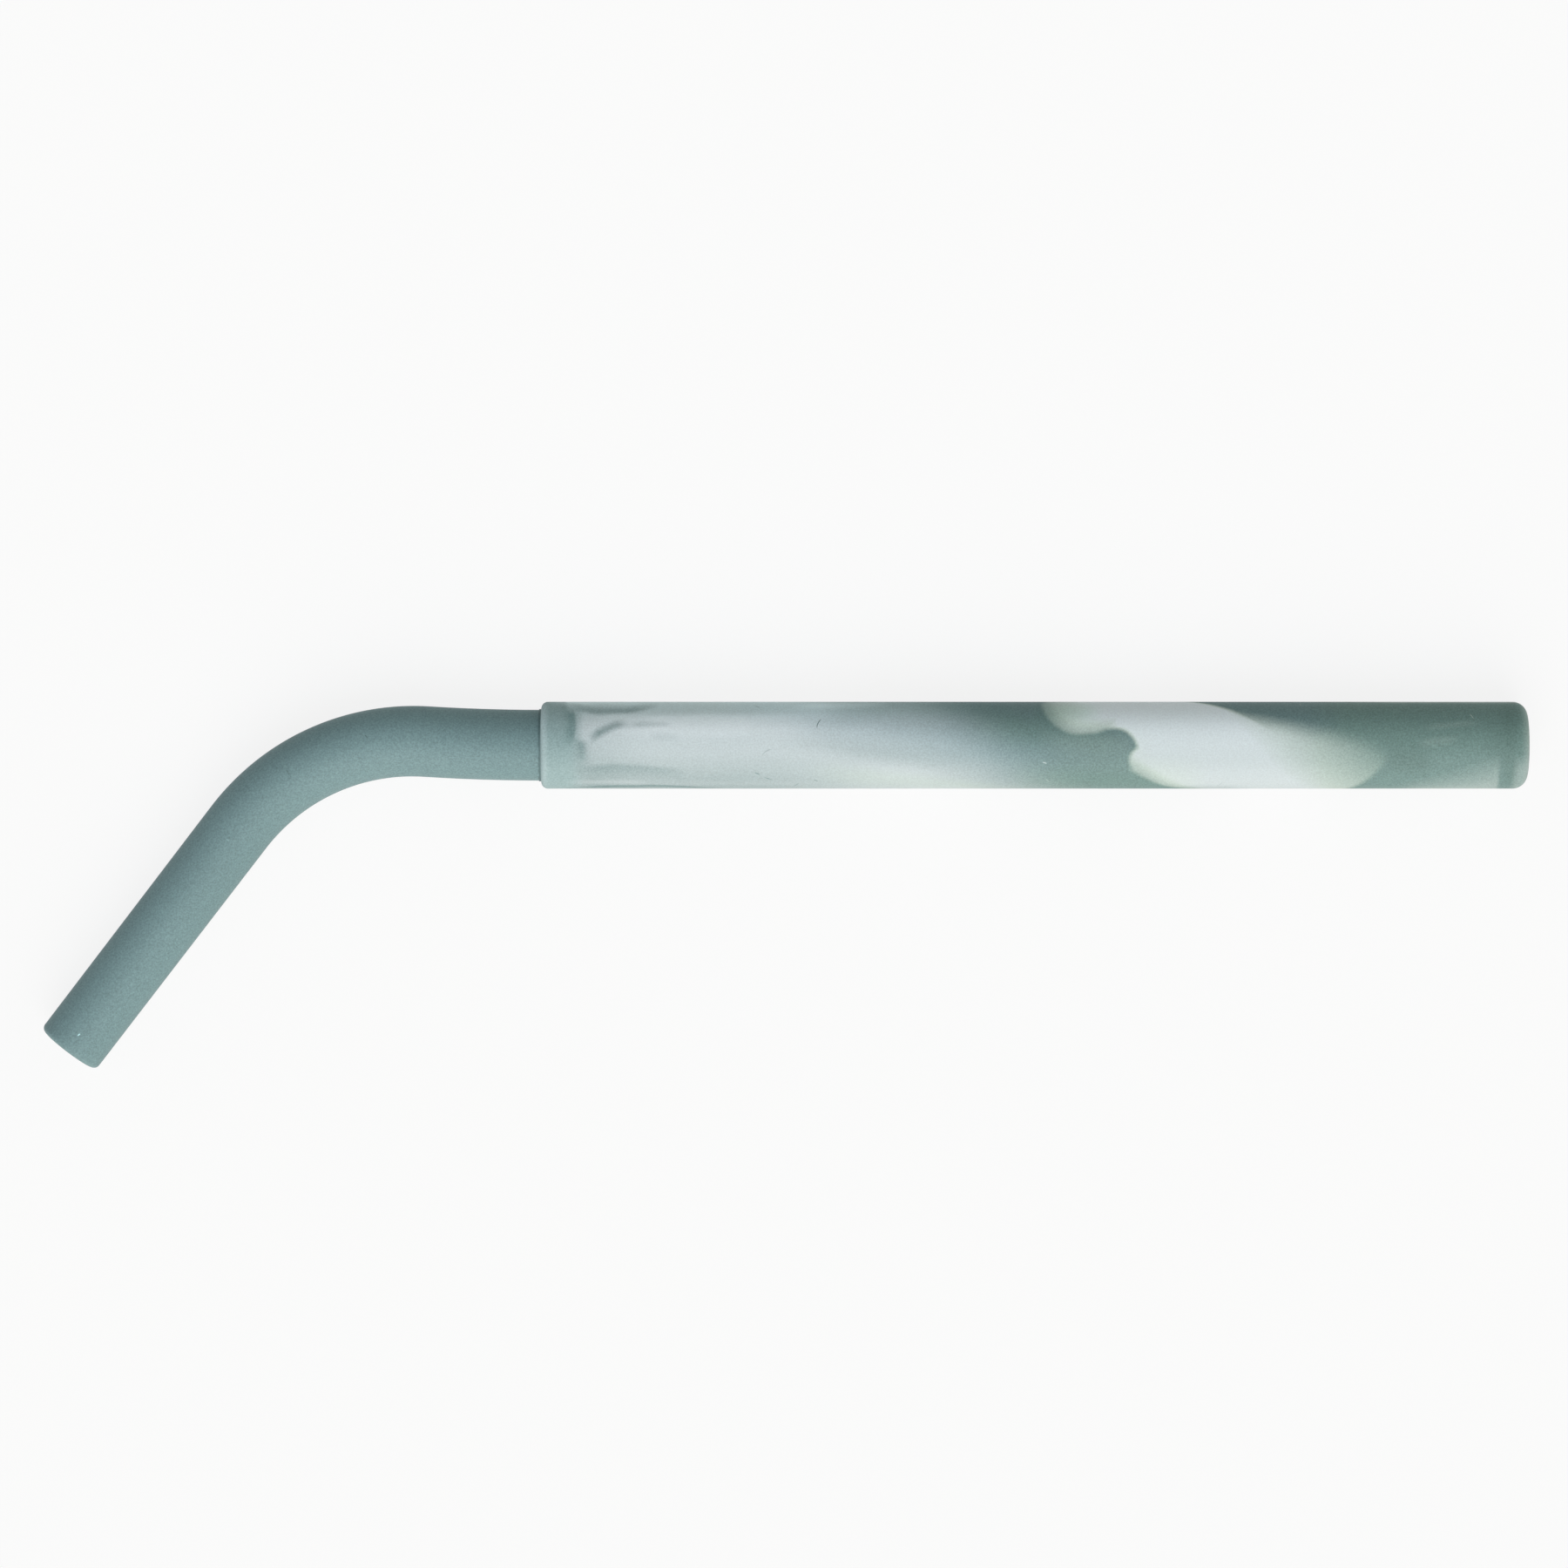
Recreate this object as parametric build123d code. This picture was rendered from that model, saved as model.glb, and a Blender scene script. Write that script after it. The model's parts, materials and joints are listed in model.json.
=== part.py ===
from build123d import *
import math
import os

# A reusable silicone drinking straw in two moulded pieces, lying on a table.
# The straight stem stands in the drink. The bent mouthpiece pushes into a socket in the
# stem's upper end, seats on a shoulder inside it, and pulls out again for washing.
# Lengths are in millimetres and angles in degrees.

# One bore runs through both pieces, and the walls are built outwards from it.
BORE = 6.8
NECK_WALL = 1.48
BEND_END_WALL = 1.37
TIP_WALL = 1.29
SOCKET_WALL = 1.07
FIT_CLEARANCE = 0.05
SEAT_GAP = 0.1

# The stem runs from its lip, round the socket, to its foot.
STEM_LENGTH = 136.0
SOCKET_DEPTH = 55.0
LIP_ROUND = 0.9
FOOT_ROUND = 2.0

# The mouthpiece leaves the lip with a slight rise, bends over and runs straight to its tip.
NECK_LENGTH = 15.85
NECK_RISE_ANGLE = 3.6
BEND_RADIUS = 30.3
BEND_ANGLE = 56.1
TIP_LENGTH = 38.75
TIP_ROUND = 0.8
SPIGOT_LEAD_IN = 0.6

# Bore edges are chamfered. The two edges of a wall together take less than the whole wall.
BORE_CHAMFER = 0.15
OUTER_SHARE_OF_WALL = 0.85
BORE_SHARE_OF_WALL = 0.1

neck_radius = BORE / 2 + NECK_WALL
bend_end_radius = BORE / 2 + BEND_END_WALL
tip_radius = BORE / 2 + TIP_WALL
socket_radius = neck_radius + FIT_CLEARANCE
stem_radius = socket_radius + SOCKET_WALL
foot_wall = stem_radius - BORE / 2


def outer_edge(wanted, wall):
    """The size of the round or chamfer on a wall's outer edge, limited by the wall."""
    return min(wanted, OUTER_SHARE_OF_WALL * wall)


def bore_edge(wall):
    """The size of the chamfer on a wall's bore edge, limited by the wall."""
    return min(BORE_CHAMFER, BORE_SHARE_OF_WALL * wall)


def make_stem():
    """A turned form about X: lip at the origin, socket, shoulder, bore, foot at the far end."""
    outline = Polyline(
        (0, socket_radius),
        (0, stem_radius),
        (STEM_LENGTH, stem_radius),
        (STEM_LENGTH, BORE / 2),
        (SOCKET_DEPTH, BORE / 2),
        (SOCKET_DEPTH, socket_radius),
        close=True,
    )
    wall_section = make_face(outline)
    edges = (
        (fillet, (0, stem_radius), outer_edge(LIP_ROUND, SOCKET_WALL)),
        (chamfer, (0, socket_radius), bore_edge(SOCKET_WALL)),
        (fillet, (STEM_LENGTH, stem_radius), outer_edge(FOOT_ROUND, foot_wall)),
        (chamfer, (STEM_LENGTH, BORE / 2), bore_edge(foot_wall)),
    )
    for ease, corner, size in edges:
        wall_section = ease(wall_section.vertices().sort_by_distance(corner)[0], size)
    return revolve(wall_section, Axis.X)


def mouthpiece_path():
    """The centreline in the bend's plane: spigot in the socket, rising neck, bend and tip."""
    spigot = Line((SOCKET_DEPTH - SEAT_GAP, 0), (0, 0))
    neck = JernArc(spigot @ 1, spigot % 1, NECK_LENGTH / math.radians(NECK_RISE_ANGLE), -NECK_RISE_ANGLE)
    bend = JernArc(neck @ 1, neck % 1, BEND_RADIUS, BEND_ANGLE)
    tip = Line(bend @ 1, bend @ 1 + TIP_LENGTH * (bend % 1))
    return spigot, neck, bend, tip


def section(curve, share, radius):
    """A round section square to a curve, at a share of its length."""
    return Plane(origin=curve @ share, z_dir=curve % share) * Circle(radius)


def end_face(tube, end_point):
    """The flat ring at the end of a tube."""
    return tube.faces().filter_by(GeomType.PLANE).sort_by_distance(end_point)[0]


def make_mouthpiece():
    """A parallel spigot and neck, a bend that thins, and a straight tip that thins further."""
    spigot, neck, bend, tip = mouthpiece_path()
    body = sweep(section(spigot, 0, neck_radius), Wire([spigot.edge(), neck.edge()]))
    body += sweep(
        [section(bend, 0, neck_radius), section(bend, 1, bend_end_radius)],
        bend,
        multisection=True,
    )
    body += loft([section(tip, 0, bend_end_radius), section(tip, 1, tip_radius)])
    whole_path = Wire([spigot.edge(), neck.edge(), bend.edge(), tip.edge()])
    tube = body - sweep(section(spigot, 0, BORE / 2), whole_path)

    tip_end, spigot_end = tip @ 1, spigot @ 0
    tube = fillet(end_face(tube, tip_end).outer_wire().edges(), outer_edge(TIP_ROUND, TIP_WALL))
    tube = chamfer(end_face(tube, spigot_end).outer_wire().edges(), outer_edge(SPIGOT_LEAD_IN, NECK_WALL))
    tube = chamfer(end_face(tube, tip_end).inner_wires()[0].edges(), bore_edge(TIP_WALL))
    return chamfer(end_face(tube, spigot_end).inner_wires()[0].edges(), bore_edge(NECK_WALL))


def resting_roll():
    """The turn about the stem's axis that brings the thinner tip down to the table as well."""
    tip = mouthpiece_path()[-1]
    contact = tip @ (1 - outer_edge(TIP_ROUND, TIP_WALL) / TIP_LENGTH)
    return math.degrees(math.asin((stem_radius - tip_radius) / abs(contact.Y)))


def resting_place(*pieces):
    """Lays the straw on the table with the middle of its footprint at the origin."""
    roll = Rot(resting_roll(), 0, 0)
    box = Compound([roll * piece for piece in pieces]).bounding_box()
    return Pos(-box.center().X, -box.center().Y, stem_radius) * roll


stem = make_stem()
mouthpiece = make_mouthpiece()
place = resting_place(stem, mouthpiece)

os.makedirs("parts", exist_ok=True)
for name, piece in {"stem": stem, "mouthpiece": mouthpiece}.items():
    export_step(place * piece, f"parts/{name}.step")
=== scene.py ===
import json
import math

import bmesh
import bpy
from mathutils import Matrix, Vector, noise


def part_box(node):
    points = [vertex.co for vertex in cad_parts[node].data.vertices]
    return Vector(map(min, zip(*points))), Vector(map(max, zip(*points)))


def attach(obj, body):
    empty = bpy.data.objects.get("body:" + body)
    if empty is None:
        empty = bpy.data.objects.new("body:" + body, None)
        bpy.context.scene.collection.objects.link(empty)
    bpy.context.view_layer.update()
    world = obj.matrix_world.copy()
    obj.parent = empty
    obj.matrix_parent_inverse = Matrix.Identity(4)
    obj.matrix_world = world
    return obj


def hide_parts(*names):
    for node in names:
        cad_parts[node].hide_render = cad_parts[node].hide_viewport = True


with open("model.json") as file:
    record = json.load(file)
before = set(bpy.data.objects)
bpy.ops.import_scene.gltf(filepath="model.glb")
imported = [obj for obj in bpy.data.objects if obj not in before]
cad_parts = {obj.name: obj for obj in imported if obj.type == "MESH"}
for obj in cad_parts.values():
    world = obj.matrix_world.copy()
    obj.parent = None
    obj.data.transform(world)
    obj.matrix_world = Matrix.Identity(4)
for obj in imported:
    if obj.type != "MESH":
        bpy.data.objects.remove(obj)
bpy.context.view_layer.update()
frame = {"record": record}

# Stem: the straight tube that stands in the drink, compression moulded in one from grey and
# white silicone that were only half mixed, so the colours lie in veils, lobes and streaks.
# Its upper end is a thin-walled socket whose ragged dark flash is painted shadow of the crease, and its
# foot is rounder.
MM = 0.001
stem_low, stem_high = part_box("stem")
stem_length = stem_high.x - stem_low.x
stem_radius = (stem_high.z - stem_low.z) / 2
lip = Vector((stem_low.x, (stem_low.y + stem_high.y) / 2, (stem_low.z + stem_high.z) / 2))
mounts = {mount["name"]: mount for mount in frame["record"]["mounts"]}
bore_radius = mounts["foot_bore"]["dims"]["r_mm"] * MM
socket_radius = 4.93 * MM
socket_depth = 55.0 * MM
lip_round = 0.9 * MM
foot_round = 2.0 * MM
# The ragged flash is a thin dark skirt at the socket's mouth: painted shadow of the crease where the
# mouthpiece enters.
lip_shadow_flash = 0.30 * MM
lip_shadow_flash_wall = 0.06 * MM
lip_shadow_flash_wobble = 0.12 * MM
lip_shadow_flash_waves_per_mm = 1.3
foot_bore_chamfer = 0.15 * MM
ring_spacing = 2.5 * MM
stem_steps = 192
seam_gap = 0.001 * MM
sharp_edge_angle = math.radians(50)


def new_piece(bm, name):
    """Closes a mesh's seams, points its faces outwards and makes it a smooth object."""
    bmesh.ops.remove_doubles(bm, verts=bm.verts, dist=seam_gap)
    bmesh.ops.recalc_face_normals(bm, faces=bm.faces)
    mesh = bpy.data.meshes.new(name)
    bm.to_mesh(mesh)
    bm.free()
    mesh.shade_smooth()
    mesh.set_sharp_from_angle(angle=sharp_edge_angle)
    piece = bpy.data.objects.new(name, mesh)
    bpy.context.scene.collection.objects.link(piece)
    return piece


# The wall's section, corner by corner: along, radius, size of the eased edge and segments in it.
stem_mesh = bmesh.new()
wall_corners = (
    (-lip_shadow_flash, socket_radius, 0, 0),
    (-lip_shadow_flash, socket_radius + lip_shadow_flash_wall, 0, 0),
    (0, socket_radius + lip_shadow_flash_wall, 0, 0),
    (0, stem_radius, lip_round, 8),
    (stem_length, stem_radius, foot_round, 12),
    (stem_length, bore_radius, foot_bore_chamfer, 2),
    (socket_depth, bore_radius, 0, 0),
    (socket_depth, socket_radius, 0, 0),
)
wall_section = [stem_mesh.verts.new((along, 0, radius)) for along, radius, _, _ in wall_corners]
stem_mesh.faces.new(wall_section)
for vert, (_, _, ease, segments) in zip(wall_section, wall_corners):
    if ease:
        bmesh.ops.bevel(stem_mesh, geom=[vert], offset=ease, offset_type="OFFSET", affect="VERTICES",
                        segments=segments, profile=0.5, material=-1)
bmesh.ops.delete(stem_mesh, geom=stem_mesh.faces[:], context="FACES_ONLY")
for edge in stem_mesh.edges[:]:
    cuts = int(edge.calc_length() / ring_spacing)
    if cuts:
        bmesh.ops.subdivide_edges(stem_mesh, edges=[edge], cuts=cuts)
bmesh.ops.spin(stem_mesh, geom=stem_mesh.verts[:] + stem_mesh.edges[:], cent=(0, 0, 0), axis=(1, 0, 0),
               angle=math.tau, steps=stem_steps, use_merge=True)
for vert in stem_mesh.verts:
    if vert.co.x < -lip_shadow_flash / 2:
        vert.co.x += lip_shadow_flash_wobble * noise.noise(vert.co / MM * lip_shadow_flash_waves_per_mm)
bmesh.ops.translate(stem_mesh, verts=stem_mesh.verts, vec=lip)
stem = new_piece(stem_mesh, "stem_skin")
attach(stem, "stem")
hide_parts("stem")


class Shade:
    """A value in a material's node tree. Arithmetic on it adds the Math nodes that it needs."""

    def __init__(self, tree, socket):
        self.tree = tree
        self.socket = socket

    def node(self, kind, settings, sockets, output=0):
        """Adds a node: its settings first, and then the values or links of its sockets."""
        made = self.tree.nodes.new(kind)
        for name, value in settings.items():
            setattr(made, name, value)
        for key, value in sockets.items():
            if isinstance(value, Shade):
                self.tree.links.new(value.socket, made.inputs[key])
            else:
                made.inputs[key].default_value = value
        return Shade(self.tree, made.outputs[output])

    def math(self, operation, *values):
        return self.node("ShaderNodeMath", {"operation": operation}, dict(enumerate(values)))

    def __add__(self, other):
        return self.math("ADD", self, other)

    def __sub__(self, other):
        return self.math("SUBTRACT", self, other)

    def __rsub__(self, other):
        return self.math("SUBTRACT", other, self)

    def __mul__(self, other):
        return self.math("MULTIPLY", self, other)

    def __truediv__(self, other):
        return self.math("DIVIDE", self, other)

    __radd__ = __add__
    __rmul__ = __mul__


def new_silicone(name):
    """A matte silicone with one Principled shader, and its surface's place in object coordinates."""
    material = bpy.data.materials.new(name)
    material.use_nodes = True
    shader = material.node_tree.nodes["Principled BSDF"]
    shader.inputs["Roughness"].default_value = 0.5
    shader.inputs["IOR"].default_value = 1.41
    shader.inputs["Specular IOR Level"].default_value = 0.15
    start = Shade(material.node_tree, None)
    place = start.node("ShaderNodeTexCoord", {}, {}, "Object")
    return material, shader, place


def smooth(value, low, high):
    """0 below the low end, 1 above the high end, and an eased step between them."""
    return value.node("ShaderNodeMapRange", {"interpolation_type": "SMOOTHSTEP"},
                      {"Value": value, "From Min": low, "From Max": high})


def vector(operation, output, *values):
    """Vector maths on places and colours, of which the first is a value in a node tree."""
    sockets = dict(enumerate(values))
    return values[0].node("ShaderNodeVectorMath", {"operation": operation}, sockets, output)


def past_line(flow, start, end):
    """How far a place lies past a line: above one along the tube, right of one that runs down."""
    heading = (Vector(end) - Vector(start)).normalized()
    across = Vector((heading.y, -heading.x, 0))
    return vector("DOT_PRODUCT", "Value", vector("SUBTRACT", "Vector", flow, (*start, 0)), across)


def past_band(flow, start, end, reach):
    """How far a place lies outside a round-ended band."""
    line = Vector((*end, 0)) - Vector((*start, 0))
    offset = vector("SUBTRACT", "Vector", flow, (*start, 0))
    share = vector("DOT_PRODUCT", "Value", offset, line / line.length_squared)
    share = share.node("ShaderNodeClamp", {}, {"Value": share})
    nearest = share.node("ShaderNodeVectorMath", {"operation": "SCALE"}, {0: line, "Scale": share})
    return vector("DISTANCE", "Value", offset, nearest) - reach


def wisp(flow, strength, start, end, bow, above, below, end_fade=5):
    """A bowed streak of pigment, or of painted highlight, that fades out at its ends and, over two
    reaches, to its sides.
    """
    line = Vector((*end, 0)) - Vector((*start, 0))
    offset = vector("SUBTRACT", "Vector", flow, (*start, 0))
    share = vector("DOT_PRODUCT", "Value", offset, line / line.length_squared)
    rise = share * (1 - share)
    aside = vector("DOT_PRODUCT", "Value", offset, Vector((-line.y, line.x, 0)) / line.length)
    aside = aside - rise * (4 * bow)
    apart = aside.math("MAXIMUM", aside / below, aside / -above)
    along_it = rise.node("ShaderNodeMath", {"operation": "MULTIPLY", "use_clamp": True},
                         {0: rise, 1: end_fade})
    across_it = apart.node("ShaderNodeMapRange", {"interpolation_type": "SMOOTHSTEP"},
                           {"Value": apart, "To Min": strength, "To Max": 0})
    return along_it * across_it


def with_wisps(amount, flow, wisps):
    """An amount with every streak of a set added to it."""
    for streak in wisps.values():
        amount = amount + wisp(flow, *streak)
    return amount


def mix(factor, first, second, blend="MIX"):
    """A colour between two, or one multiplied by the other."""
    return factor.node("ShaderNodeMix", {"data_type": "RGBA", "blend_type": blend},
                       {0: factor, 6: first, 7: second}, 2)


def part_of(vector_shade, axis):
    """One of a place's three coordinates."""
    return vector_shade.node("ShaderNodeSeparateXYZ", {}, {0: vector_shade}, axis)


def add_grain(colour, strength, place, shader):
    """The fine matte grain of moulded silicone, a little in the colour and a little in the relief."""
    grain = place.node("ShaderNodeTexNoise", {}, {"Vector": place, "Scale": 4200, "Detail": 2})
    speckled = vector("MULTIPLY", "Vector", colour, (grain - 0.5) * strength + 1)
    relief = grain.node("ShaderNodeBump", {},
                        {"Strength": 0.05, "Distance": 0.05 * MM, "Height": grain})
    place.tree.links.new(speckled.socket, shader.inputs["Base Color"])
    place.tree.links.new(relief.socket, shader.inputs["Normal"])


grey_pigment = (0.177, 0.270, 0.277, 1)
white_pigment = (0.860, 0.940, 0.980, 1)
# The white painted darker where it faces the lamps: painted shade that holds down its brightness on the
# lit near side.
shaded_white_pigment = (0.555, 0.630, 0.660, 1)
veil_tint = (1.015, 1.045, 1.07, 1)
green_tint = (1.0, 1.03, 0.935, 1)
cool_tint = (0.92, 1.01, 1.0, 1)
lobe_tint = (0.89, 0.965, 0.91, 1)
foot_tint = (0.86, 0.87, 0.86, 1)
# Dark grey of the flash at the socket's mouth: painted shadow of the crease round the mouthpiece.
flash_shadow_grey = (0.13, 0.20, 0.21, 1)
drift = 0.6
grey_grain = 0.85
white_grain = 0.27

# The pattern lies on the unrolled tube, in millimetres along it from the lip and round it from its top.
marbled, marbled_shader, place = new_silicone("marbled_silicone")
from_lip = vector("SUBTRACT", "Vector", place, lip)
angle = place.math("ARCTAN2", 0 - part_of(from_lip, "Y"), part_of(from_lip, "Z"))
along = part_of(from_lip, "X") / MM
around = angle * (stem_radius / MM)
level = place.math("ARCSINE", place.math("SINE", angle)) * (stem_radius / MM)
eddies = place.node("ShaderNodeTexNoise", {}, {"Vector": place, "Scale": 200, "Detail": 1}, "Color")
flow = place.node("ShaderNodeCombineXYZ", {}, {"X": along - drift / 2, "Y": around - drift / 2})
flow = vector("MULTIPLY_ADD", "Vector", eddies, (drift, drift, 0), flow)

body_wisps = {
    "upper lane": (-0.23, (8, -5.4), (39, -5.4), 0, 4.0, 1.4),
    "bright lane": (0.16, (14.0, -3.8), (29.0, -3.2), 0, 0.9, 2.6),
    "middle lane": (-0.11, (3, -0.5), (46, -0.5), 0, 1.6, 2.2),
    "near lane": (0.11, (2, 6.6), (40, 6.6), 0, 1.6, 0.9),
    "far spot": (0.24, (34.5, -6.4), (48, -7.4), 0, 1.8, 1.6),
    "far haze": (-0.07, (27, -3.6), (46, -3.2), 0, 1.6, 1.6),
    "lane's start": (-0.06, (10, -4.6), (22, -4.4), 0, 1.6, 1.6),
    "near haze": (-0.06, (46, 7.2), (58, 6.6), 0, 3.0, 3.0),
    "veil's edge": (0.05, (46, 2.2), (66, 3.4), 0, 2.2, 2.6),
    "veil's middle": (-0.045, (45, -2.4), (61, -1.4), 0, 2.4, 2.0),
    "upper haze": (-0.055, (26, -1.9), (44, -2.0), 0, 1.7, 1.5),
    "pale grey": (0.03, (64, 1.5), (88, 2.0), 0, 4.5, 4.5),
    "bay haze": (0.045, (68, -0.2), (84.5, -0.4), 0, 2.6, 2.6),
}
lip_wisps = {
    "blotch": (-0.17, (3.7, -6.8), (3.9, 0.4), -0.9, 0.4, 2.0),
    "second blotch": (-0.16, (5.6, -0.6), (5.7, 2.4), 0, 0.8, 0.9),
    "upper streak": (-0.47, (3.7, -6.3), (16.3, -6.9), 1.4, 2.0, 1.0),
    "leaf": (-0.55, (6.6, -0.5), (12.2, -3.1), -0.56, 1.2, 1.05),
    "leaf's tail": (-0.32, (11.6, -2.9), (18.8, -3.0), 0, 0.85, 0.9),
    "smudge": (-0.12, (14.8, -1.2), (19.2, -1.2), 0, 1.1, 1.0),
    "lower lane": (-0.24, (4.7, 3.3), (20.3, 3.8), -0.3, 0.8, 1.9),
    "pale line": (0.20, (3.0, 6.2), (15.5, 6.1), -0.2, 0.9, 0.9),
    "bow": (-0.38, (2.9, 8.4), (25.8, 8.9), -1.45, 0.6, 0.9),
    # A painted highlight along the lip's rounded edge.
    "lip's painted highlight": (0.26, (0.35, -8.5), (0.35, 9.5), 0, 0.9, 1.2),
    "far glint": (0.90, (2.0, -9.9), (14.0, -9.8), 0, 1.2, 3.0),
    "far rim": (0.15, (0.8, -7.9), (8.0, -7.9), 0, 2.0, 1.7),
    "far corner": (0.36, (3.9, -11.0), (4.3, -4.7), 0, 1.9, 1.1),
}
foot_wisps = {
    "near veil": (-0.30, (84.0, 8.8), (98.0, 8.6), 0, 2.2, 2.0),
    "faint streak": (0.06, (121.2, -2.4), (129.2, -3.4), 0, 0.7, 0.8),
    "faint smudge": (0.07, (120.3, -0.1), (126.2, -0.9), 0, 0.8, 1.2),
    "far edge": (0.62, (111.3, -9.4), (139.2, -9.4), 0, 1.5, 2.0),
    "near edge": (0.17, (109.3, 9.4), (133.2, 9.8), 0, 2.0, 3.0),
    # A painted highlight on the near side of the foot's rounded end.
    "foot's painted highlight": (0.29, (134.7, 1.4), (134.2, 10.0), 0, 2.5, 1.2),
}
lint = {
    "dark hair": (-0.85, (38.7, -3.75), (38.1, -2.3), 0.16, 0.11, 0.12),
    "curl": (-0.34, (30.4, 1.7), (31.9, 0.60), -0.25, 0.12, 0.14),
    "far speck": (-0.34, (29.5, -6.8), (30.2, -6.2), 0, 0.18, 0.18),
    "speck": (-0.50, (29.4, 4.1), (30.3, 4.6), 0, 0.15, 0.15),
    "twin speck": (-0.40, (30.7, 5.1), (31.9, 5.6), 0, 0.15, 0.15),
    "near hair": (-0.50, (35.5, 6.3), (34.9, 7.3), 0, 0.12, 0.12),
    "near speck": (-0.40, (37.4, 5.4), (38.1, 5.8), 0, 0.16, 0.16),
    "white fleck": (0.90, (69.0, 2.5), (69.6, 2.7), 0, 0.12, 0.12),
    "faint fleck": (0.26, (69.4, 5.4), (70.0, 6.0), 0, 0.16, 0.16),
    "foot fleck": (0.45, (127.8, -4.8), (128.3, -3.9), 0, 0.08, 0.08),
    "far fleck": (0.16, (104.5, -7.8), (104.7, -6.7), 0, 0.14, 0.14),
    "blob hair": (-0.26, (93.0, 7.3), (93.8, 5.9), 0.1, 0.12, 0.12),
}
green_wisps = {
    "veil's near side": (0.5, (36, 3.5), (68, 8.5), 0, 2.5, 4),
    "near grey": (0.8, (64, 6), (92, 6), 0, 6, 6),
    "upper grey": (0.7, (58, -4), (84, 1.0), 0, 4, 4),
}
dull_wisps = {
    "blob's end": (1, (115.2, 2.0), (123.0, 2.6), 0, 4, 3),
    "foot band": (1, (133.4, -8), (133.4, 9), 0, 1.8, 2.4),
    "band's edge": (0.5, (131, -4.5), (131.5, 3.5), 0, 2.5, 2.5),
}

# Body: a white haze from the lip on, thinned by a grey veil, with lanes along it.
body = 1 - smooth(along - level * 1.1, 42, 70)
body = body * (1 - smooth(level, -1.5, 7) * (1 - smooth(along, 26, 58)) * 0.55)
veil = wisp(flow, 0.31, (39, -13), (56.5, 10), 3, 11, 12)
body = body - veil * smooth(past_line(flow, (36, 0.8), (50, 2.7)), -1.3, 1.3)
body = with_wisps(body, flow, body_wisps)
body = body * (smooth(along, 4, 17) * 0.30 + 0.70)
rim = smooth(level, -2, 4) * 0.17 + 0.26
body = body + (rim - body) * (1 - smooth(along - smooth(level, -1.2, 0) * 1.2, 4.2, 6.2))
body = with_wisps(body, flow, lip_wisps)

# Blob: a white pour with a lobe, a bay and a nose towards the lip and a fading tail.
lobe = past_band(flow, (74.2, -6.6), (81.5, -7.7), 5.2)
nose = past_band(flow, (83.0, 2.3), (86.2, 4.05), 2.2)
core = place.math("SMOOTH_MAX", 77.1 - along, past_line(flow, (90.6, 10.5), (82.2, 4.5)), 1.0)
upper = place.math("SMOOTH_MIN", lobe, core, 0.6)
depth = smooth(0 - place.math("SMOOTH_MIN", upper, nose, 0.6), 0, 2.4) * 0.5 + 0.5
bay = 0 - past_band(flow, (78.5, 1.1), (78.6, 1.1), 3.4)
outside = place.math("SMOOTH_MIN", place.math("SMOOTH_MAX", upper, bay, 0.5), nose, 0.5)
blob = (1 - smooth(outside, -0.55, 0.45)) * depth * (smooth(along, 69.5, 76.5) * 0.45 + 0.55)
sharp_side = 1 - smooth(past_line(flow, (89.3, -8.7), (96.3, -4.7)), -0.5, 0.5)
soft_side = 1 - smooth(past_line(flow, (99.4, -3.85), (113.3, -0.75)), -2.2, 1.4)
blob = blob * place.math("MAXIMUM", sharp_side, soft_side)
blob = blob * (1 - smooth(past_line(flow, (116.3, 2.2), (112.3, 7.1)), -0.6, 0.6))
tail = along - level * 0.85
tail = tail.node("ShaderNodeMapRange", {},
                 {"Value": tail, "From Min": 98.2, "From Max": 115.8, "To Min": 1, "To Max": 0})
blob = blob * tail
white = place.math("MAXIMUM", body, blob)

# Foot: a pale patch that stops short of the foot, and a painted highlight on its rounded end.
patch_rise = level + (along - 130.3) * 0.36
patch = patch_rise.node("ShaderNodeMapRange", {}, {"Value": patch_rise, "From Min": 1.6, "From Max": 7})
white = white + patch * smooth(along, 116.5, 121.5) * (1 - smooth(along, 131.4, 132.1)) * 0.41
# The foot's rounded end painted lighter, most on the near side: painted highlight.
white = white + smooth(along, 134.6, 136.2) * (smooth(level, -4, 3) * 0.22 + 0.18)
white = with_wisps(with_wisps(white, flow, foot_wisps), flow, lint)
white = white.node("ShaderNodeClamp", {}, {"Value": white})

# Colours: grey to white by the amount of white, the white painted darker on the lit near side as
# painted shade, and faint tints from place to place.
lit_side_shade = smooth(around, -3.4, 2.8) - smooth(around, 11, 18)
marble = mix(white, grey_pigment, mix(lit_side_shade, white_pigment, shaded_white_pigment))
marble = mix(wisp(flow, 1, (24, -7.5), (74, 3.0), 0, 6, 5), marble, veil_tint, "MULTIPLY")
green = blob * (1 - blob) * 3 + smooth(along, 104, 112) * (1 - smooth(level, -2, 4) * 0.4)
marble = mix(with_wisps(green, flow, green_wisps), marble, green_tint, "MULTIPLY")
cool = 1 - smooth(along, 3.5, 6.5) + smooth(0 - level, 2.5, 7) * (1 - smooth(along, 55, 68))
marble = mix(cool, marble, cool_tint, "MULTIPLY")
marble = mix(wisp(flow, 1, (67.5, -5.5), (77.5, -5.0), 0, 4, 3.5), marble, lobe_tint, "MULTIPLY")
marble = mix(with_wisps(0, flow, dull_wisps), marble, foot_tint, "MULTIPLY")
# The flash is dark grey: painted shadow of the crease where the lip meets the mouthpiece.
marble = mix(1 - smooth(along, -0.08, 0.02), marble, flash_shadow_grey)
add_grain(marble, grey_grain - white * (grey_grain - white_grain), place, marbled_shader)
stem.data.materials.append(marbled)

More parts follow.
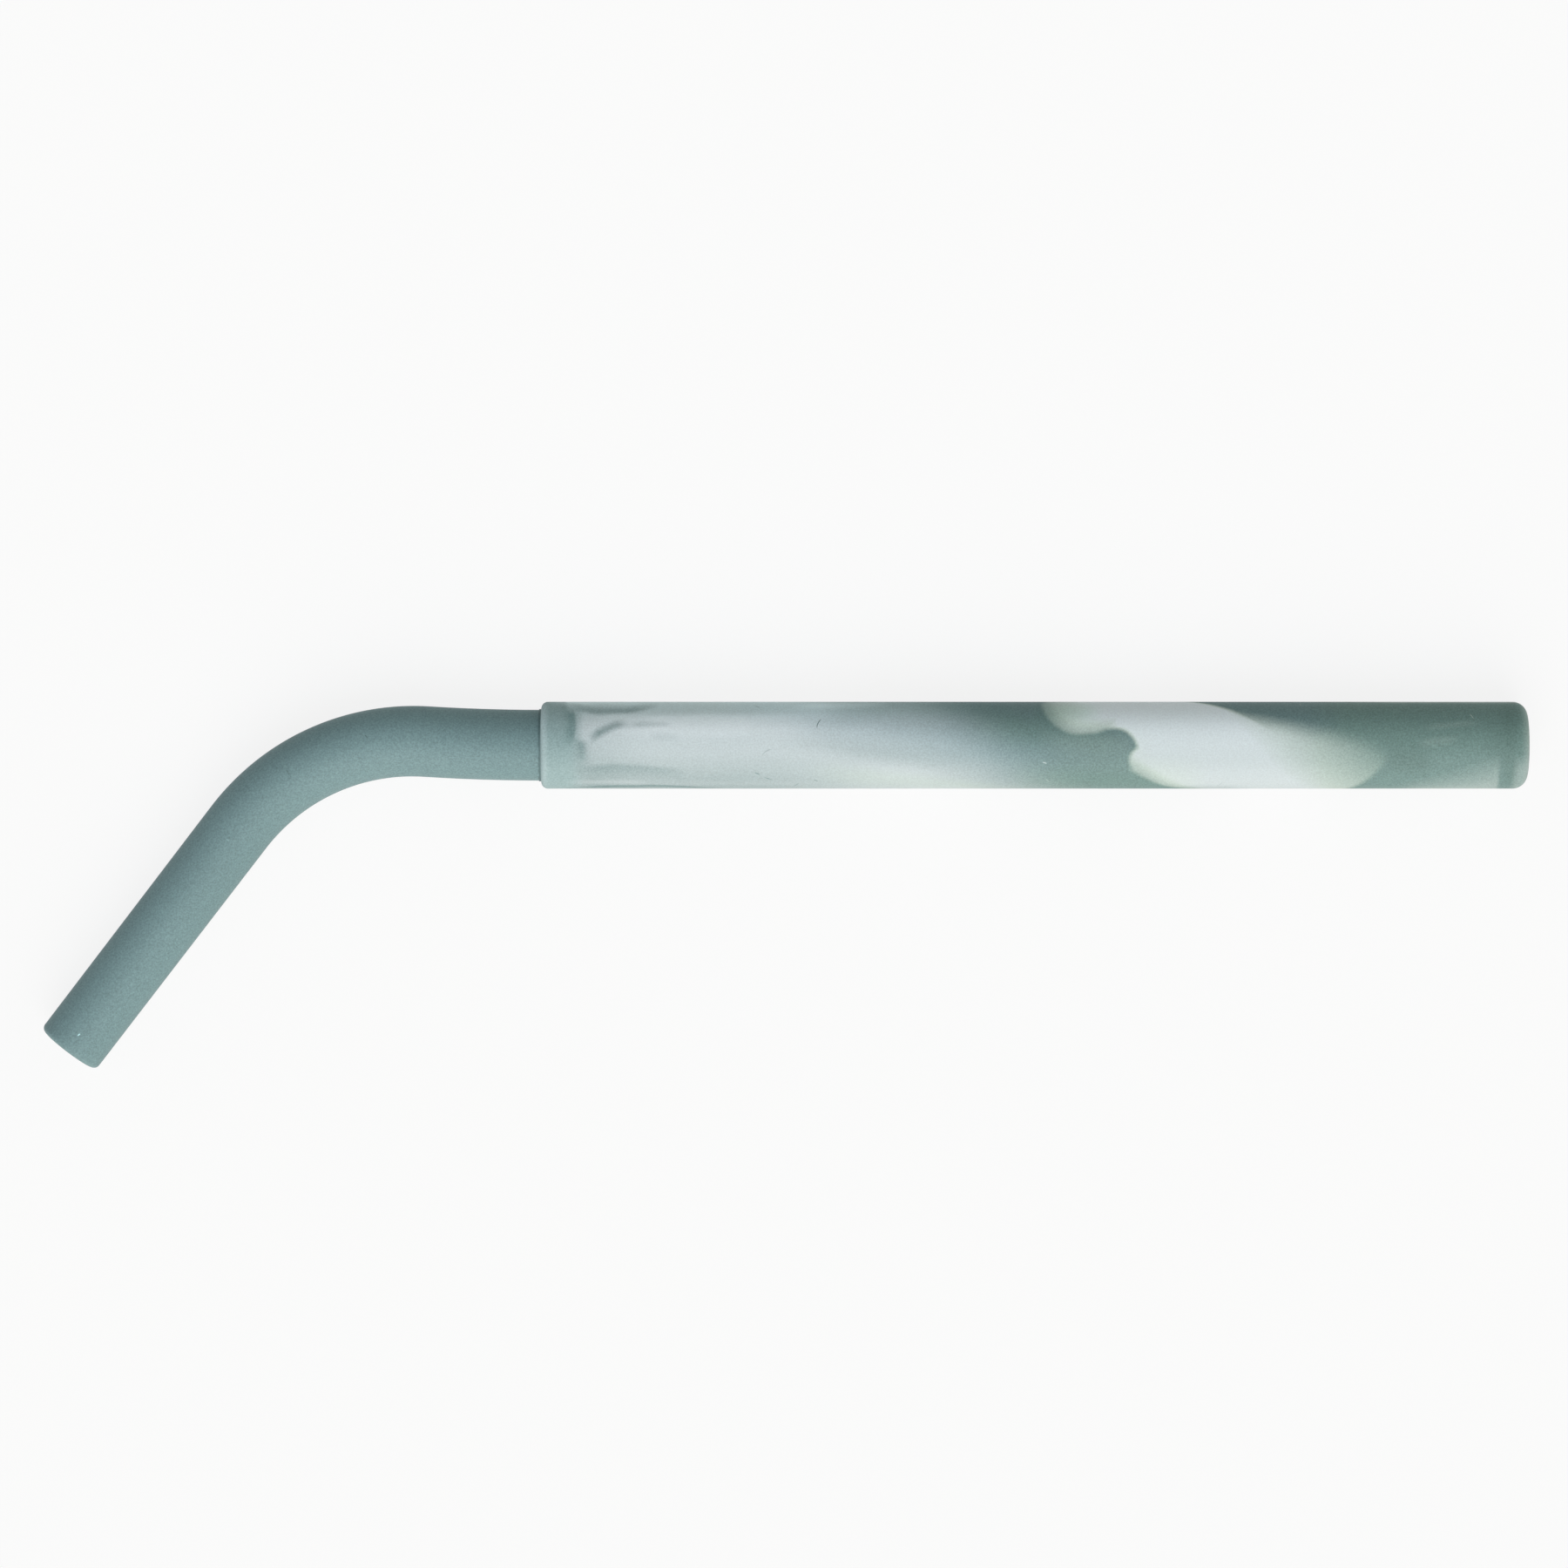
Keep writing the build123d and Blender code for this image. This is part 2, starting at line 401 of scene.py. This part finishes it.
# Mouthpiece: the thinner bent tube, moulded in one from plain grey silicone. Its straight spigot
# is pushed to the bottom of the stem's socket, and its wall thins through the bend to the tip,
# where the edge is eased for the lips.
neck_radius = 4.88 * MM
bend_end_radius = 4.77 * MM
tip_radius = 4.69 * MM
spigot_length = 54.9 * MM
neck_length = 15.85 * MM
neck_rise = math.radians(3.6)
bend_radius = 30.3 * MM
bend_angle = math.radians(56.1)
tip_length = 38.75 * MM
tip_round = 0.8 * MM
tip_bore_chamfer = 0.129 * MM
spigot_lead_in = 0.6 * MM
spigot_bore_chamfer = 0.148 * MM
tube_sides = 160
spigot_rings = 22
neck_rings = 6
bend_rings = 48
tip_rings = 16
tip_round_segments = 8
mouth_axis = mounts["mouth_bore"]["axis"]
resting_roll = math.atan2(-mouth_axis[2], -mouth_axis[1])
neck_arc_radius = neck_length / neck_rise
neck_arc_centre = Vector((0, neck_arc_radius, 0))
bend_start = neck_arc_centre + Matrix.Rotation(-neck_rise, 3, "Z") @ -neck_arc_centre
bend_start_heading = Matrix.Rotation(-neck_rise, 3, "Z") @ Vector((-1, 0, 0))
bend_centre = bend_start + bend_radius * (Matrix.Rotation(math.pi / 2, 3, "Z") @ bend_start_heading)
tip_heading = Matrix.Rotation(bend_angle - neck_rise, 3, "Z") @ Vector((-1, 0, 0))


def edges_of(geometry):
    """The edges among what an operator made."""
    return [item for item in geometry if isinstance(item, bmesh.types.BMEdge)]


def shrink_ring(bm, ring, share):
    """Scales a ring of edges about its own middle."""
    verts = list({vert for edge in ring for vert in edge.verts})
    middle = sum((vert.co for vert in verts), Vector()) / len(verts)
    bmesh.ops.scale(bm, verts=verts, vec=(share, share, share), space=Matrix.Translation(-middle))


def run_straight(bm, ring, travel, steps, end_share=1.0):
    """Draws a ring of edges out along a straight, thinning it evenly, and gives the last ring."""
    for _ in range(steps):
        ring = edges_of(bmesh.ops.extrude_edge_only(bm, edges=ring)["geom"])
        ring = [edge for edge in ring if len(edge.link_faces) == 1]
        verts = list({vert for edge in ring for vert in edge.verts})
        bmesh.ops.translate(bm, verts=verts, vec=travel / steps)
        shrink_ring(bm, ring, end_share ** (1 / steps))
    return ring


def run_round(bm, ring, centre, turn, steps, end_share=1.0):
    """Draws a ring of edges round an arc, thinning it evenly, and gives the last ring."""
    for _ in range(steps):
        swept = bmesh.ops.spin(bm, geom=ring, cent=centre, axis=(0, 0, 1), angle=turn / steps, steps=1)
        ring = edges_of(swept["geom_last"])
        shrink_ring(bm, ring, end_share ** (1 / steps))
    return ring


tube = bmesh.new()
spigot_end = Matrix.Translation((spigot_length, 0, 0)) @ Matrix.Rotation(math.pi / 2, 4, "Y")
lead_in_radius = neck_radius - spigot_lead_in
circle = bmesh.ops.create_circle(tube, segments=tube_sides, radius=lead_in_radius, matrix=spigot_end)
ring = list({edge for vert in circle["verts"] for edge in vert.link_edges})
to_lip = Vector((-spigot_length, 0, 0))
lead_in = Vector((-spigot_lead_in, 0, 0))
to_tip = tip_heading * tip_length
ring = run_straight(tube, ring, lead_in, 1, neck_radius / lead_in_radius)
ring = run_straight(tube, ring, to_lip - lead_in, spigot_rings)
ring = run_round(tube, ring, neck_arc_centre, -neck_rise, neck_rings)
ring = run_round(tube, ring, bend_centre, bend_angle, bend_rings, bend_end_radius / neck_radius)
tip_edge = run_straight(tube, ring, to_tip, tip_rings, tip_radius / bend_end_radius)

tip_mouth_radius = bore_radius + tip_bore_chamfer
into_tip = -tip_heading * tip_bore_chamfer
ring = run_straight(tube, tip_edge, Vector(), 1, tip_mouth_radius / tip_radius)
ring = run_straight(tube, ring, into_tip, 1, bore_radius / tip_mouth_radius)
ring = run_straight(tube, ring, -to_tip - into_tip, tip_rings)
ring = run_round(tube, ring, bend_centre, -bend_angle, bend_rings)
ring = run_round(tube, ring, neck_arc_centre, neck_rise, neck_rings)
spigot_mouth_radius = bore_radius + spigot_bore_chamfer
out_of_spigot = Vector((spigot_bore_chamfer, 0, 0))
ring = run_straight(tube, ring, -to_lip - out_of_spigot, spigot_rings)
ring = run_straight(tube, ring, out_of_spigot, 1, spigot_mouth_radius / bore_radius)
run_straight(tube, ring, Vector(), 1, lead_in_radius / spigot_mouth_radius)
bmesh.ops.bevel(tube, geom=tip_edge, offset=tip_round, offset_type="OFFSET", affect="EDGES",
                segments=tip_round_segments, profile=0.5, material=-1)
bmesh.ops.rotate(tube, verts=tube.verts, cent=(0, 0, 0), matrix=Matrix.Rotation(resting_roll, 3, "X"))
bmesh.ops.translate(tube, verts=tube.verts, vec=lip)
mouthpiece = new_piece(tube, "mouthpiece_skin")
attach(mouthpiece, "mouthpiece")
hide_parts("mouthpiece")

plain_grey_pigment = (0.197, 0.302, 0.318)
cloud_depth = 0.08
specks = {
    "bend hair": (-0.45, (-24.15, 1.40), (-23.70, 0.95), 0, 0.10, 0.10),
    "outer hair": (-0.35, (-34.9, -3.4), (-34.5, -4.1), 0, 0.10, 0.10),
    "bend fleck": (0.35, (-43.2, -12.9), (-42.8, -13.2), 0, 0.12, 0.12),
    "pale hair": (0.15, (-56.6, -34.3), (-55.5, -33.8), 0, 0.15, 0.15),
    "faint fleck": (0.35, (-58.7, -37.2), (-58.4, -37.4), 0, 0.12, 0.12),
    "tip fleck": (2.2, (-63.70, -40.0), (-63.35, -39.7), 0, 0.14, 0.14),
}
grey, grey_shader, place = new_silicone("grey_silicone")
clouds = place.node("ShaderNodeTexNoise", {}, {"Vector": place, "Scale": 60, "Detail": 1})
from_above = vector("DIVIDE", "Vector", vector("SUBTRACT", "Vector", place, lip), (MM, MM, MM))
upper_side = smooth(part_of(from_above, "Z"), 0, 1)
tone = clouds * cloud_depth + (1 - cloud_depth / 2)
for speck in specks.values():
    tone = tone + wisp(from_above, *speck) * upper_side
toned = vector("MULTIPLY", "Vector", tone, plain_grey_pigment)
add_grain(toned, grey_grain, place, grey_shader)
mouthpiece.data.materials.append(grey)

# Table: a plain white floor that the straw lies on. To the eye it is nearly all white,
# and it keeps the straw's soft shadow and throws light back up at it.
floor_half_width = 6
table_glow = 0.85
floor_mesh = bmesh.new()
bmesh.ops.create_grid(floor_mesh, x_segments=1, y_segments=1, size=floor_half_width)
floor = new_piece(floor_mesh, "floor")

floor_material = bpy.data.materials.new("white_table")
floor_material.use_nodes = True
floor_material.node_tree.nodes.clear()
start = Shade(floor_material.node_tree, None)


def seen_rays(start):
    """1 where a ray comes from the camera, straight or by way of a gloss or a clear piece."""
    seen = 0
    for kind in ("Is Camera Ray", "Is Glossy Ray", "Is Transmission Ray"):
        ray = start.node("ShaderNodeLightPath", {}, {}, kind)
        seen = start.math("MAXIMUM", ray, seen)
    return seen


matte = start.node("ShaderNodeBsdfDiffuse", {}, {"Color": (0.8, 0.8, 0.8, 1)})
glow = start.node("ShaderNodeEmission", {}, {"Color": (1, 1, 1, 1), "Strength": 1})
table = start.node("ShaderNodeMixShader", {}, {0: seen_rays(start) * table_glow, 1: matte, 2: glow})
surface = floor_material.node_tree.nodes.new("ShaderNodeOutputMaterial")
floor_material.node_tree.links.new(table.socket, surface.inputs["Surface"])
floor.data.materials.append(floor_material)

# Light: a broad soft window light from the near side, a low warm glow under it, a faint light
# from each end and a pale room.
lamp_spread = math.radians(60)
lamps = {
    "window": ((0, -1, 1.2), 2.25, (0.88, 0.945, 1)),
    "low_glow": ((0, -1, 0.45), 0.80, (1, 0.62, 0.29)),
    "left": ((-1, 0, 0.7), 0.21, (0.9, 0.85, 1)),
    "right": ((1, 0, 0.25), 0.6, (1, 0.98, 0.9)),
}
for name, (direction, strength, tint) in lamps.items():
    lamp = bpy.data.lights.new(name, "SUN")
    lamp.angle = lamp_spread
    lamp.energy = strength
    lamp.color = tint
    holder = bpy.data.objects.new(name, lamp)
    holder.rotation_euler = Vector(direction).to_track_quat("Z", "Y").to_euler()
    bpy.context.scene.collection.objects.link(holder)

world = bpy.data.worlds.new("pale_room")
world.use_nodes = True
bpy.context.scene.world = world
room = world.node_tree.nodes["Background"]
room.inputs["Color"].default_value = (0.95, 1, 0.93, 1)
room.inputs["Strength"].default_value = 0.26

# Camera: looks straight down on the lying straw, as the photograph does, from far enough away
# that the tubes' ends hardly show their sides.
view_width = 216.4 * MM
camera_height = 1100 * MM
camera_past_lip = 33.475 * MM
camera_aside = -5.354 * MM
camera_data = bpy.data.cameras.new("camera")
camera_data.sensor_width = 36
camera_data.lens = camera_data.sensor_width * camera_height / view_width
camera = bpy.data.objects.new("camera", camera_data)
camera.location = lip + Vector((camera_past_lip, camera_aside, camera_height))
bpy.context.scene.collection.objects.link(camera)
bpy.context.scene.camera = camera
bpy.context.scene.view_settings.view_transform = "Standard"
